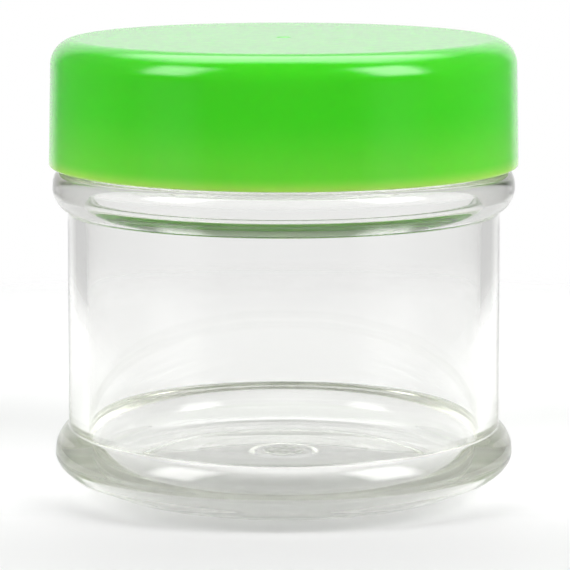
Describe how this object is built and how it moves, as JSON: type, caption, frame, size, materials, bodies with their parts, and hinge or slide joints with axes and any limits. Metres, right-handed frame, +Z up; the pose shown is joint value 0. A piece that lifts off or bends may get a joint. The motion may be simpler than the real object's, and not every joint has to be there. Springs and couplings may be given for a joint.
{
  "type": "disinfectant jar",
  "caption": "Small clear plastic jar, round and straight-sided between a bead at the shoulder and one at the base, closed by a smooth green screw cap with a liner disc inside.",
  "frame": {"origin": "centre of the foot, on the surface the jar stands on", "axes": "+Z up along the jar's axis, through the middle of the cap; +X and +Y are level, and the outside is round about +Z"},
  "size_m": [0.053, 0.053, 0.0513],
  "materials": {
    "clear_plastic": "clear moulded plastic, glass-like and glossy, with faint flow marks and fine handling scratches",
    "green_plastic": "bright green moulded plastic, glossy with a slight ripple, letting a little light through at the skirt's edge",
    "liner_foam": "smooth-skinned translucent foam sheet with fine cells"
  },
  "bodies": {
    "jar": {"jar_body": "clear_plastic"},
    "liner": {"sealing_liner": "liner_foam"},
    "cap": {"screw_cap": "green_plastic"}
  },
  "joints": [
    {"name": "lid_rise", "type": "slide", "parent": "jar", "child": "liner", "axis": [0, 0, 1], "range_m": [0, 0.0168]},
    {"name": "lid_unscrew", "type": "hinge", "parent": "liner", "child": "cap", "pos_m": [0, 0, 0.0442], "axis": [0, 0, 1], "range_deg": [0, 1440]}
  ],
  "couplings": [
    {"joint": "lid_rise", "follows": "lid_unscrew", "m_per_rad": 0.00066845}
  ]
}
